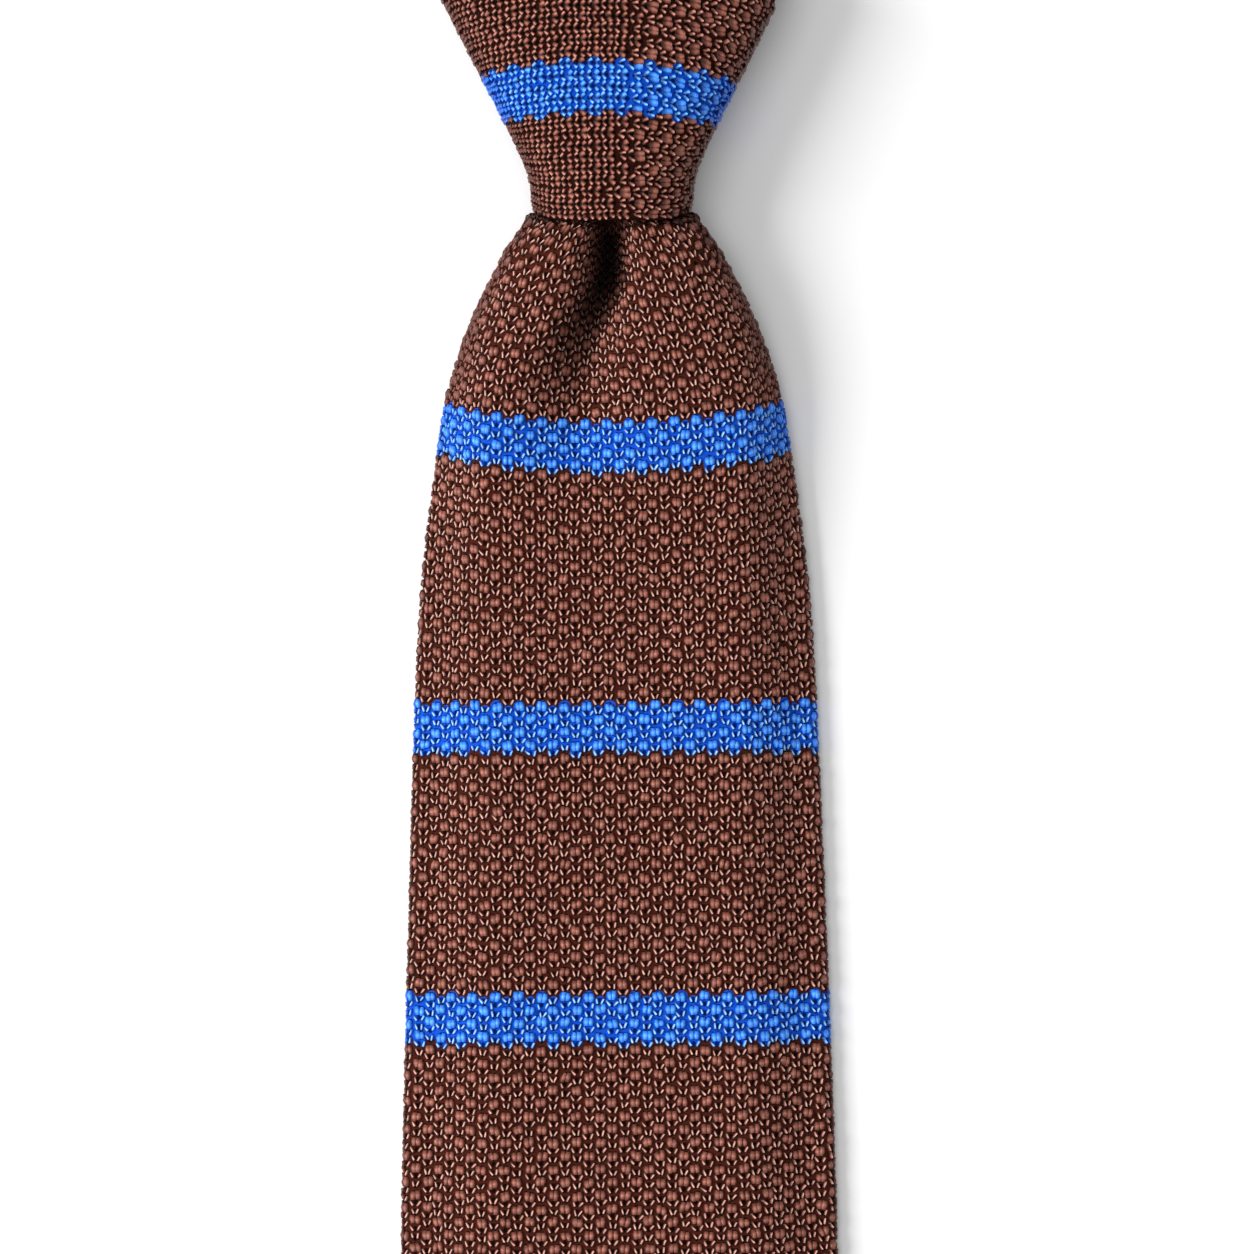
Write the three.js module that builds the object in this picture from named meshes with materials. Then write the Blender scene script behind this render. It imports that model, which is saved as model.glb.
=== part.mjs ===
// A knitted necktie, tied in a wide knot and laid on its back on a table.
// Millimetres. +Z is up from the table and the front of the tie faces up. +Y runs from the
// blades' ends to the neck loop. The knot's lower edge is at y = 0 until the last lines,
// which move the whole tie so that its origin lies under the middle of its outline.

import * as THREE from 'three';

const { clamp, degToRad, lerp, smoothstep } = THREE.MathUtils;

// The knitted tube: it is pressed flat, so the cloth is two layers thick everywhere
const knitLayer = 1.5;
const cloth = 2 * knitLayer;
const clearance = 0.3;

// The wide blade, measured from the knot's lower edge
const bladeWidth = 60.5;
const bladeLength = 470;
const openLength = 250;          // over this length it opens out from the knot to its full width
const throatSqueeze = 0.67;      // thickness of the cloth in the knot, as a share of its own

// The narrow blade under it
const tailWidth = 32;
const tailLength = 430;
const tailOpenLength = 55;
const tailDropLength = 16;       // over this length it comes down from the knot to the table

// The knot
const knotHeight = 34;
const knotTopWidth = 49;
const knotBottomWidth = 21.5;
const knotTopDepth = 20;
const knotBottomDepth = 18;
const knotBulge = 1;
const knotCollar = 5.5;          // the knot keeps its lower width this far up, then widens
const knotCollarBend = 3;        // over about this length it bends from the one to the other
const knotRimRise = 2.3;         // the lower rim rises this much at the sides
const rimFollow = 8;             // the wide blade follows that rim, and runs straight this far down
const frontRoundness = 2.4;      // exponents of the rounded outline, 2 being an ellipse
const backRoundness = 5;
const foldRise = 5;              // the turned-over cloth stands this far out of the knot
const tuckDepth = 12;            // the wide blade reaches this far up into the knot

// The neck loop: a flat band at the knot, which turns on edge to go round the neck
const neckBandWidth = 26;
const neckLoopWidth = 118;       // between the band's middles at the widest place
const neckLoopLength = 141;      // from the knot's top to the band's middle at the back
const neckBandLean = degToRad(80);
const strandWidth = 12;          // where the band is drawn together in the knot
const strandThickness = 4.5;
const strandDepth = 12;          // how far each end reaches down into the knot

// The wide blade's shape at places below the knot. Down is a share of openLength, and open of
// the way from its width in the knot to its full width. Edge and ridge are the heights of its
// edges and its crown, from 0 as it lies on the table to 1 in the knot. Arch is 1 where it is
// arched from edge to edge and 0 where it lies over the tail. The dimple's depth is a share of
// the knot's lower depth, its breadth and its drift to the side of the knot's lower width.
const bladeShape = [
  { down: -0.003, open: 0.0, edge: 1.0, ridge: 1.0, arch: 1.0, dimple: 0.28, breadth: 0.115, drift: -0.02 },
  { down: 0.0, open: 0.033, edge: 0.82, ridge: 1.07, arch: 1.0, dimple: 0.31, breadth: 0.12, drift: -0.02 },
  { down: 0.0035, open: 0.165, edge: 0.77, ridge: 1.11, arch: 1.0, dimple: 0.33, breadth: 0.123, drift: -0.022 },
  { down: 0.0085, open: 0.213, edge: 0.71, ridge: 1.13, arch: 1.0, dimple: 0.35, breadth: 0.128, drift: -0.027 },
  { down: 0.02, open: 0.336, edge: 0.56, ridge: 1.15, arch: 1.0, dimple: 0.36, breadth: 0.138, drift: -0.035 },
  { down: 0.04, open: 0.465, edge: 0.39, ridge: 1.06, arch: 1.0, dimple: 0.34, breadth: 0.158, drift: -0.069 },
  { down: 0.072, open: 0.607, edge: 0.2, ridge: 0.88, arch: 0.88, dimple: 0.25, breadth: 0.202, drift: -0.163 },
  { down: 0.1, open: 0.691, edge: 0.09, ridge: 0.72, arch: 0.77, dimple: 0.15, breadth: 0.249, drift: -0.221 },
  { down: 0.128, open: 0.732, edge: 0.035, ridge: 0.59, arch: 0.64, dimple: 0.07, breadth: 0.293, drift: -0.264 },
  { down: 0.19, open: 0.809, edge: 0.0, ridge: 0.33, arch: 0.39, dimple: 0.0, breadth: 0.323, drift: -0.281 },
  { down: 0.258, open: 0.851, edge: 0.0, ridge: 0.16, arch: 0.21, dimple: 0.0, breadth: 0.323, drift: -0.281 },
  { down: 0.343, open: 0.884, edge: 0.0, ridge: 0.05, arch: 0.08, dimple: 0.0, breadth: 0.323, drift: -0.281 },
  { down: 0.444, open: 0.921, edge: 0.0, ridge: 0.0, arch: 0.0, dimple: 0.0, breadth: 0.323, drift: -0.281 },
  { down: 0.555, open: 0.952, edge: 0.0, ridge: 0.0, arch: 0.0, dimple: 0.0, breadth: 0.323, drift: -0.281 },
  { down: 1.0, open: 1.0, edge: 0.0, ridge: 0.0, arch: 0.0, dimple: 0.0, breadth: 0.323, drift: -0.281 },
];

// Half of the neck band's route above the knot. Side is a share of half the loop's width, and
// along of the loop's length.
const loopRoute = [
  { side: 0.27, along: 0.055 },
  { side: 0.56, along: 0.2 },
  { side: 0.84, along: 0.39 },
  { side: 1.0, along: 0.62 },
  { side: 0.88, along: 0.83 },
  { side: 0.5, along: 0.965 },
  { side: 0.0, along: 1.0 },
];

// Heights of what is stacked in the knot, from its back wall up
const tailFloor = cloth + clearance;
const bladeFloor = tailFloor + cloth + clearance;
const foldFloor = tailFloor + strandThickness + clearance;

// A column of a table at any place down it, on a smooth curve that never swings past its rows.
function tableAt(table, column, place) {
  const last = table.length - 1;
  if (place <= table[0].down) return table[0][column];
  if (place >= table[last].down) return table[last][column];
  const row = table.findIndex((entry) => entry.down > place) - 1;
  const step = (k) => table[k + 1].down - table[k].down;
  const slope = (k) => (table[k + 1][column] - table[k][column]) / step(k);
  const tangent = (k) => {
    if (k === 0 || k === last) return 0;
    const product = slope(k - 1) * slope(k);
    return product > 0 ? (2 * product) / (slope(k - 1) + slope(k)) : 0;
  };
  const t = (place - table[row].down) / step(row);
  const rise = table[row + 1][column] - table[row][column];
  const ease = t * t * (3 - 2 * t);
  const leave = t * (1 - t) * (1 - t) * step(row) * tangent(row);
  const arrive = t * t * (t - 1) * step(row) * tangent(row + 1);
  return table[row][column] + rise * ease + leave + arrive;
}

// Distance along a curve of points to each of them.
function distances(points) {
  const result = [0];
  for (let i = 1; i < points.length; i += 1) {
    result.push(result[i - 1] + points[i].distanceTo(points[i - 1]));
  }
  return result;
}

// The point and the direction at some distance along a curve of points.
function pointAlong(points, reached, distance) {
  const found = reached.findIndex((value) => value >= distance);
  const next = clamp(found < 0 ? points.length - 1 : found, 1, points.length - 1);
  const share = (distance - reached[next - 1]) / (reached[next] - reached[next - 1]);
  return {
    point: points[next - 1].clone().lerp(points[next], share),
    direction: points[next].clone().sub(points[next - 1]).normalize(),
  };
}

// The same closed outline with its points at even distances.
function spreadEvenly(outline, count) {
  const closed = [...outline, outline[0]];
  const reached = distances(closed);
  const step = reached[reached.length - 1] / count;
  return Array.from({ length: count }, (_, i) => pointAlong(closed, reached, i * step).point);
}

// Outline of a flat knitted tube that follows a curve from its right edge to its left one: the
// upper face, then the under face, with a round fold at each edge.
function tubeOutline(curve, thickness, columns) {
  const radius = thickness / 2;
  const reached = distances(curve);
  const length = reached[reached.length - 1];
  const turn = [0, radius * (1 - Math.SQRT1_2)];
  const flat = Array.from({ length: columns }, (_, i) => lerp(radius, length - radius, i / (columns - 1)));
  const places = [...turn, ...flat, length - turn[1], length];
  const upper = [];
  const under = [];
  for (const place of places) {
    const { point, direction } = pointAlong(curve, reached, place);
    const fromEdge = Math.min(place, length - place, radius);
    const reach = Math.sqrt(radius ** 2 - (radius - fromEdge) ** 2);
    const out = new THREE.Vector2(direction.y, -direction.x).multiplyScalar(reach);
    upper.push(point.clone().add(out));
    under.push(point.clone().sub(out));
  }
  return [...upper, ...under.slice(1, -1).reverse()];
}

// A solid through rings of points. An open one is capped between the two halves of its end
// rings, and a closed one runs round to its first ring again.
function solidThrough(rings, closed) {
  const around = rings[0].length;
  const positions = rings.flat().flatMap((point) => [point.x, point.y, point.z]);
  const faces = [];
  const spans = closed ? rings.length : rings.length - 1;
  for (let j = 0; j < spans; j += 1) {
    const here = j * around;
    const there = ((j + 1) % rings.length) * around;
    for (let i = 0; i < around; i += 1) {
      const next = (i + 1) % around;
      faces.push(here + i, here + next, there + next);
      faces.push(here + i, there + next, there + i);
    }
  }
  if (!closed) {
    const end = (rings.length - 1) * around;
    for (let i = 0; i < around / 2; i += 1) {
      const across = (around - i) % around;
      const acrossNext = around - i - 1;
      if (i > 0) {
        faces.push(i, across, acrossNext);
        faces.push(end + i, end + acrossNext, end + across);
      }
      if (i + 1 < acrossNext) {
        faces.push(i, acrossNext, i + 1);
        faces.push(end + i, end + i + 1, end + acrossNext);
      }
    }
  }
  const geometry = new THREE.BufferGeometry();
  geometry.setAttribute('position', new THREE.Float32BufferAttribute(positions, 3));
  geometry.setIndex(faces);
  geometry.computeVertexNormals();
  return geometry;
}

// Places along a blade, with the last few close together so that its end is round.
function endPlaces(length) {
  return [
    { down: length - cloth / 2, squeeze: 1 },
    { down: length - (cloth / 2) * (1 - Math.SQRT1_2), squeeze: Math.SQRT1_2 },
    { down: length, squeeze: 0.1 },
  ];
}

// The knot

// Half the knot's width at height y: upright sides at first, then straight slanting ones.
function knotHalfWidth(y) {
  const hinge = (height) => (height - knotCollar + Math.hypot(height - knotCollar, knotCollarBend)) / 2;
  const share = (hinge(y) - hinge(0)) / (hinge(knotHeight) - hinge(0));
  return lerp(knotBottomWidth, knotTopWidth, share) / 2;
}

// Point on the knot's outline at height y, set in from its surface; angle 0 is its right side.
function knotPoint(angle, y, inset) {
  const share = y / knotHeight;
  const halfWidth = knotHalfWidth(y);
  const bulge = knotBulge * Math.sin(Math.PI * clamp(share, 0, 1));
  const halfDepth = (lerp(knotBottomDepth, knotTopDepth, share) + bulge) / 2;
  const roundness = Math.sin(angle) >= 0 ? frontRoundness : backRoundness;
  const bend = (value) => Math.sign(value) * Math.abs(value) ** (2 / roundness);
  return new THREE.Vector2(
    (halfWidth - inset) * bend(Math.cos(angle)),
    halfDepth + (halfDepth - inset) * bend(Math.sin(angle)),
  );
}

function knotOutline(y, inset, count) {
  const fine = 6 * count;
  const outline = Array.from({ length: fine }, (_, i) => knotPoint((2 * Math.PI * i) / fine, y, inset));
  return spreadEvenly(outline, count);
}

// The wrap's wall from its lower lip up the outside and down the inside.
function wrapProfile(rows) {
  const radius = cloth / 2;
  const outside = Array.from({ length: rows }, (_, i) => ({
    y: lerp(radius, knotHeight - radius, i / (rows - 1)),
    inset: 0,
  }));
  const inside = outside.filter((_, i) => i % 3 === 0).reverse().map(({ y }) => ({ y, inset: cloth }));
  const lip = (y, turned) => [45, 90, 135].map((degrees) => ({
    y: y + turned * radius * Math.sin(degToRad(degrees)),
    inset: radius - turned * radius * Math.cos(degToRad(degrees)),
  }));
  return [...outside, ...lip(knotHeight - radius, 1), ...inside, ...lip(radius, -1)];
}

// How far the lower rim is raised at x, where the knot's half width is given.
function rimLift(x, halfWidth) {
  return knotRimRise * Math.min(1, Math.abs(x) / halfWidth) ** 6;
}

function knotBand() {
  const around = 40;
  const outlines = wrapProfile(7).map(({ y, inset }) => {
    const share = (1 - y / knotHeight) ** 2;
    return knotOutline(y, inset, around).map((point) => new THREE.Vector3(
      point.x,
      y + share * rimLift(point.x, knotHalfWidth(y)),
      point.y,
    ));
  });
  const rings = Array.from({ length: around }, (_, j) => outlines.map((outline) => outline[j]));
  return solidThrough(rings, true);
}

// The cloth turned over the top of the knot, which fills it behind the wrap.
function knotFold() {
  const around = 28;
  const bottom = tuckDepth + clearance;
  const straight = 6;
  const rounding = [25, 50, 70, 84];
  const rows = Array.from({ length: straight }, (_, i) => ({
    y: lerp(bottom, knotHeight, i / (straight - 1)),
    squeeze: 1,
  }));
  for (const degrees of rounding) {
    rows.push({
      y: knotHeight + foldRise * Math.sin(degToRad(degrees)),
      squeeze: Math.cos(degToRad(degrees)),
    });
  }
  const rings = rows.map(({ y, squeeze }) => {
    const inside = knotOutline(Math.min(y, knotHeight), cloth + 2 * clearance, 3 * around);
    const filled = inside.map(({ x, y: z }) => new THREE.Vector2(x, Math.max(z, foldFloor)));
    const middle = (foldFloor + Math.max(...filled.map((point) => point.y))) / 2;
    const narrowed = lerp(knotBottomWidth / knotTopWidth, 1, squeeze ** 0.5);
    return spreadEvenly(filled, around).map((point) => new THREE.Vector3(
      -point.x * narrowed,
      y,
      middle + (point.y - middle) * squeeze,
    ));
  });
  return solidThrough(rings, false);
}

// The blades

const lyingRidge = tailFloor + clearance + cloth / 2;
const throatRidge = knotBottomDepth - cloth - 1 - (cloth * throatSqueeze) / 2;

// The wide blade's section: the curve through the middle of the cloth, then its outline.
function bladeRing(down, squeeze) {
  const place = down / openLength;
  const shape = (column) => tableAt(bladeShape, column, place);
  const throatHalf = knotBottomWidth / 2 - cloth - clearance;
  const half = lerp(throatHalf, bladeWidth / 2, shape('open'));
  const thickness = cloth * lerp(throatSqueeze, 1, smoothstep(down, 0, openLength / 10));
  const arch = shape('arch');
  const overTail = 1 - smoothstep(down, tailLength, tailLength + tailWidth);
  const low = lerp(cloth / 2, bladeFloor, shape('edge'));
  const crown = (lerp(lyingRidge, throatRidge, shape('ridge')) - low) * overTail;
  const lean = arch * crown * Math.PI;
  const edgeCosine = (half * (1 - arch)) / Math.hypot(lean, half * (1 - arch));
  const middleHalf = half - (thickness / 2) * (1 - edgeCosine);
  const dimple = shape('dimple') * knotBottomDepth;
  const breadth = shape('breadth') * knotBottomWidth;
  const drift = shape('drift') * knotBottomWidth;
  const samples = 120;
  const curve = Array.from({ length: samples + 1 }, (_, i) => {
    const across = 1 - (2 * i) / samples;
    const quarter = (across * Math.PI) / 2;
    const x = middleHalf * lerp(across, Math.sin(quarter), arch);
    const lying = 1 - smoothstep(Math.abs(x), tailWidth / 2 + clearance, half - cloth / 2);
    const arched = 1 - (1 - Math.cos(quarter)) ** 2;
    const sunk = dimple * Math.exp(-(((x - drift) / breadth) ** 2));
    return new THREE.Vector2(x, low + crown * lerp(lying, arched, arch) - sunk);
  });
  const follow = 1 - smoothstep(down, 0, rimFollow);
  return tubeOutline(curve, thickness * squeeze, 19).map((point) => new THREE.Vector3(
    point.x,
    follow * rimLift(point.x, knotHalfWidth(0)) - down,
    point.y,
  ));
}

function frontBlade() {
  const opening = 24;
  const places = [{ down: -tuckDepth, squeeze: 1 }, { down: openLength * bladeShape[0].down, squeeze: 1 }];
  for (let i = 0; i <= opening; i += 1) {
    places.push({ down: openLength * (i / opening) ** 1.8, squeeze: 1 });
  }
  places.push({ down: (openLength + tailLength) / 2, squeeze: 1 });
  for (let i = 0; i <= 4; i += 1) {
    places.push({ down: lerp(tailLength, tailLength + tailWidth, i / 4), squeeze: 1 });
  }
  places.push(...endPlaces(bladeLength));
  return solidThrough(places.map(({ down, squeeze }) => bladeRing(down, squeeze)), false);
}

function tailRing(down, squeeze) {
  const throatHalf = knotBottomWidth / 2 - cloth - 4 * clearance;
  const half = lerp(throatHalf, tailWidth / 2, smoothstep(down, 0, tailOpenLength));
  const middle = lerp(tailFloor, 0, smoothstep(down, 0, tailDropLength)) + cloth / 2;
  const curve = [new THREE.Vector2(half, middle), new THREE.Vector2(-half, middle)];
  return tubeOutline(curve, cloth * squeeze, 5).map((point) => new THREE.Vector3(point.x, -down, point.y));
}

function tailBlade() {
  const opening = 10;
  const top = knotHeight - strandDepth - clearance;
  const places = [{ down: -top, squeeze: 1 }];
  for (let i = 0; i <= opening; i += 1) {
    places.push({ down: tailOpenLength * (i / opening), squeeze: 1 });
  }
  places.push({ down: (tailOpenLength + tailLength) / 2, squeeze: 1 }, ...endPlaces(tailLength));
  return solidThrough(places.map(({ down, squeeze }) => tailRing(down, squeeze)), false);
}

// The neck loop

function neckLoop() {
  const strandSide = strandWidth / 2 + clearance;
  const rightHalf = [
    new THREE.Vector3(strandSide, knotHeight - strandDepth, 0),
    new THREE.Vector3(strandSide, knotHeight - strandDepth / 4, 0),
    ...loopRoute.map(({ side, along }) => new THREE.Vector3(
      (side * neckLoopWidth) / 2,
      knotHeight + along * neckLoopLength,
      0,
    )),
  ];
  const leftHalf = rightHalf.slice(0, -1).reverse().map(({ x, y }) => new THREE.Vector3(-x, y, 0));
  const route = new THREE.CatmullRomCurve3([...rightHalf, ...leftHalf], false, 'catmullrom', 0.5);
  const stations = 72;
  const rings = Array.from({ length: stations + 1 }, (_, j) => {
    const share = j / stations;
    const fromKnot = 2 * Math.min(share, 1 - share);
    const spread = smoothstep(fromKnot, 0.06, 0.3);
    const lean = neckBandLean * smoothstep(fromKnot, 0.12, 0.5);
    const width = lerp(strandWidth, neckBandWidth, spread);
    const thickness = lerp(strandThickness, cloth, spread);
    const onTable = (width / 2 - thickness / 2) * Math.sin(lean) + thickness / 2;
    const lift = tailFloor * (1 - smoothstep(fromKnot, 0.1, 0.26));
    const tangent = route.getTangentAt(share);
    const outward = new THREE.Vector3(tangent.y, -tangent.x, 0);
    const up = new THREE.Vector3(0, 0, 1);
    const face = up.clone().multiplyScalar(Math.cos(lean)).addScaledVector(outward, Math.sin(lean));
    const across = new THREE.Vector3().crossVectors(face, tangent);
    const centre = route.getPointAt(share).setZ(onTable + lift);
    const curve = [new THREE.Vector2(width / 2, 0), new THREE.Vector2(-width / 2, 0)];
    return tubeOutline(curve, thickness, 3).map((point) => centre.clone()
      .addScaledVector(across, point.x)
      .addScaledVector(face, point.y));
  });
  return solidThrough(rings, false);
}

// The tie

function knitted(name, geometry) {
  const material = new THREE.MeshStandardMaterial({ color: 0x6b4236, roughness: 0.72, metalness: 0 });
  material.name = 'knitted_cloth';
  const mesh = new THREE.Mesh(geometry, material);
  mesh.name = name;
  return mesh;
}

const tie = new THREE.Group();
tie.add(knitted('front_blade', frontBlade()));
tie.add(knitted('tail_blade', tailBlade()));
tie.add(knitted('knot_band', knotBand()));
tie.add(knitted('knot_fold', knotFold()));
tie.add(knitted('neck_loop', neckLoop()));

// The back of the loop leans outwards, so its upper edge is the tie's farthest point
const loopReach = (neckBandWidth - cloth) * 0.5 * Math.cos(neckBandLean) + cloth / 2;
const farEnd = knotHeight + neckLoopLength + loopReach;
tie.position.y = (bladeLength - farEnd) / 2;

export default tie;
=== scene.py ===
# A knitted silk tie, tied in a wide knot and laid on its back on a white table.
# Metres, +Z up. Each piece is worked out from the frame's boxes and from the size of one stitch.
import math

import bpy
import numpy as np
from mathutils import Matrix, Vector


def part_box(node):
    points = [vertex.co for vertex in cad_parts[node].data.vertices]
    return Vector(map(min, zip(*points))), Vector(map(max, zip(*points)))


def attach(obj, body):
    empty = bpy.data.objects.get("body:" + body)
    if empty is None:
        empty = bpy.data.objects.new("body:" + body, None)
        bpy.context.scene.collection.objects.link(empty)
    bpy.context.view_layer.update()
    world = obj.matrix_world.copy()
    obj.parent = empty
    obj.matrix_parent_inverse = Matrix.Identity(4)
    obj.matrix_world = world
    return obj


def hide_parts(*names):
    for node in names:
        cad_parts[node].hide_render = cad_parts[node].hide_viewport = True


mm = 0.001
draws = np.random.default_rng(38)

print("loading the frame")
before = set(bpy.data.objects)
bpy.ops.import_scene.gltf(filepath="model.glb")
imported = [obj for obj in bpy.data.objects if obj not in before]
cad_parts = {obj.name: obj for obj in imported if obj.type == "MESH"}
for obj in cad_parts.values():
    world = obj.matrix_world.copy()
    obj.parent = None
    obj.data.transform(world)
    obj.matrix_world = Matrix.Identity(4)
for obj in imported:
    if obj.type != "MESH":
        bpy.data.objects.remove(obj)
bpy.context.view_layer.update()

# One unit of the knit, flat on the table. Every second wale is half a unit lower. A unit is a
# fat tuck of two strands side by side, then a wide V and a narrow V of finer legs.
knit = {
    "wale": 1.465 * mm,            # from one column of stitches to the next
    "unit": 3.555 * mm,            # from one tuck to the next in a column
    "relief": 0.45 * mm,           # the strands stand this far out of the ground
    "stripeEvery": 11,             # units from one blue stripe to the next
    "stripeUnits": 1.99,           # height of a stripe
    "stripeLead": 0.08,            # it starts this far above its first tuck
}
strands = {                        # millimetres from the tuck's middle, and degrees; the last value sets how much painted highlight a strand's crest gets
    "tuck": {"across": 0.27, "along": -0.07, "wide": 0.46, "long": 0.82, "tilt": 2, "high": 0.56,
             "bow": 0.2, "specularAndPaintedHighlight": 0.64},
    "wideV": {"across": 0.47, "along": 1.0, "wide": 0.22, "long": 0.7, "tilt": 29, "high": 0.5,
              "bow": 0.14, "specularAndPaintedHighlight": 1.08},
    "narrowV": {"across": 0.33, "along": 2.14, "wide": 0.2, "long": 0.7, "tilt": 21, "high": 0.5,
                "bow": 0.12, "specularAndPaintedHighlight": 1.1},
}
braid = {                          # the knot's stitches, pulled tight: four Vs a unit
    "firstV": {"across": 0.36, "along": 0.0, "wide": 0.42, "long": 0.66, "tilt": 36, "high": 0.6,
               "bow": 0.2, "specularAndPaintedHighlight": 0.8},
    "secondV": {"across": 0.4, "along": 0.95, "wide": 0.28, "long": 0.56, "tilt": 44, "high": 0.48,
                "bow": 0.14, "specularAndPaintedHighlight": 0.98},
    "thirdV": {"across": 0.36, "along": 1.86, "wide": 0.33, "long": 0.56, "tilt": 38, "high": 0.48,
               "bow": 0.14, "specularAndPaintedHighlight": 0.86},
    "fourthV": {"across": 0.4, "along": 2.78, "wide": 0.28, "long": 0.58, "tilt": 44, "high": 0.5,
                "bow": 0.14, "specularAndPaintedHighlight": 0.96},
}
loosened = {                       # looser ones beside them
    "tuck": {**strands["tuck"], "wide": 0.5, "high": 0.6, "specularAndPaintedHighlight": 0.62},
    "wideV": {**strands["wideV"], "wide": 0.29, "long": 0.7, "specularAndPaintedHighlight": 0.95},
    "narrowV": {**strands["narrowV"], "wide": 0.27, "long": 0.68, "specularAndPaintedHighlight": 0.95},
}
paintedShadeGaps = (                          # painted shade in the gaps between the strands of a unit
    {"across": 0.0, "place": 0.95, "wide": 0.3, "long": 0.4, "tilt": 0, "high": 1.0},
    {"across": 0.0, "place": -1.35, "wide": 0.26, "long": 0.45, "tilt": 0, "high": 1.0},
    {"across": 0.0, "place": -0.3, "wide": 0.3, "long": 0.35, "tilt": 0, "high": 1.0},
    {"across": 0.0, "place": -1.62, "wide": 0.72, "long": 0.68, "tilt": 0, "high": 0.62},
)


def lerp(start, end, share):
    return start + (end - start) * share


def smoothstep(value, start, end):
    share = np.clip((value - start) / (end - start), 0, 1)
    return share * share * (3 - 2 * share)


def inStripe(units):  # counted from the first tuck of a stripe
    return (units + knit["stripeLead"]) % knit["stripeEvery"] < knit["stripeUnits"]


# Materials

def linear(hexColour):  # sRGB hex to linear RGBA
    parts = [int(hexColour[i:i + 2], 16) / 255 for i in (1, 3, 5)]
    return tuple(v / 12.92 if v <= 0.04045 else ((v + 0.055) / 1.055) ** 2.4 for v in parts) + (1.0,)


def addNode(tree, kind, inputs=None, output=0, **settings):
    node = tree.nodes.new(kind)
    for name, value in settings.items():
        setattr(node, name, value)
    for socket, value in (inputs or {}).items():
        if isinstance(value, bpy.types.NodeSocket):
            tree.links.new(value, node.inputs[socket])
        else:
            node.inputs[socket].default_value = value
    return node.outputs[output] if node.outputs else None


def newMaterial(name):
    material = bpy.data.materials.new(name)
    material.use_nodes = True
    material.node_tree.nodes.clear()
    return material, material.node_tree


def finishMaterial(tree, colour, normal, roughness, sheen, specular=0.5):
    shader = addNode(tree, "ShaderNodeBsdfPrincipled", {
        "Base Color": colour, "Normal": normal, "Roughness": roughness, "IOR": 1.5,
        "Specular IOR Level": specular,
        "Sheen Weight": sheen, "Sheen Roughness": 0.4, "Sheen Tint": (1.0, 0.9, 0.85, 1.0),
    })
    addNode(tree, "ShaderNodeOutputMaterial", {"Surface": shader})


# Colours up a strand from its base to its crest: deep is painted shade, body the yarn's own colour, soft
# and lit a painted light and highlight
brownYarn = {"deep": "#1e0905", "body": "#7a4234", "soft": "#b27262", "lit": "#ffdccd"}
blueYarn = {"deep": "#02289a", "body": "#2c80f4", "soft": "#68b6ff", "lit": "#d8f0ff"}
yarnFinish = {
    "roughness": 0.45,
    "sheen": 0.03,
    "fibre": 0.3 * mm,             # filaments of spun silk are finer, so they are drawn coarser
    "fibreBump": 0.2,
}


def silkYarn(name, colours):
    # Spun silk yarn, softly twisted: even and a little glossy along the strand, with fine filaments
    material, tree = newMaterial(name)
    place = addNode(tree, "ShaderNodeUVMap", uv_map="yarn")
    depth = addNode(tree, "ShaderNodeAttribute", output="Fac", attribute_name="depth")
    tone = addNode(tree, "ShaderNodeAttribute", output="Fac", attribute_name="tone")
    paintedShade = addNode(tree, "ShaderNodeAttribute", output="Fac", attribute_name="paintedShade")
    drawn = addNode(tree, "ShaderNodeMapping", {"Vector": place, "Scale": (0.5, 1.0, 1.0)})
    fibres = addNode(tree, "ShaderNodeTexNoise", {
        "Vector": drawn, "Scale": mm / yarnFinish["fibre"], "Detail": 2.0, "Roughness": 0.7,
    })
    # The ramp paints shade low on each strand and a highlight on its crest
    ramp = addNode(tree, "ShaderNodeValToRGB", {"Fac": depth})
    stops = ramp.node.color_ramp.elements
    stops[0].position, stops[0].color = 0.05, linear(colours["deep"])
    stops[1].position, stops[1].color = 0.93, linear(colours["lit"])
    for position, colour in ((0.42, "body"), (0.7, "soft")):
        stops.new(position).color = linear(colours[colour])
    spread = addNode(tree, "ShaderNodeMapRange", {"Value": tone, "To Min": 0.86, "To Max": 1.14})
    mottle = addNode(tree, "ShaderNodeMapRange", {"Value": fibres, "From Min": 0.3, "From Max": 0.7,
                                                  "To Min": 0.66, "To Max": 1.34})
    both = addNode(tree, "ShaderNodeMath", {0: spread, 1: mottle}, operation="MULTIPLY")
    # Painted shade in the dimple and close under the knot's rim darkens the colour
    opened = addNode(tree, "ShaderNodeMath", {0: 1.0, 1: paintedShade}, operation="SUBTRACT")
    value = addNode(tree, "ShaderNodeMath", {0: both, 1: opened}, operation="MULTIPLY")
    colour = addNode(tree, "ShaderNodeHueSaturation", {"Color": ramp, "Value": value})
    normal = addNode(tree, "ShaderNodeBump", {
        "Height": fibres, "Strength": yarnFinish["fibreBump"], "Distance": yarnFinish["fibre"],
    })
    # and takes away the specular where that shade is painted
    specularAndPaintedHighlight = addNode(tree, "ShaderNodeMapRange", {"Value": paintedShade, "To Min": 0.35, "To Max": 0.0})
    finishMaterial(tree, colour, normal, yarnFinish["roughness"], yarnFinish["sheen"], specularAndPaintedHighlight)
    return material


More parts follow.
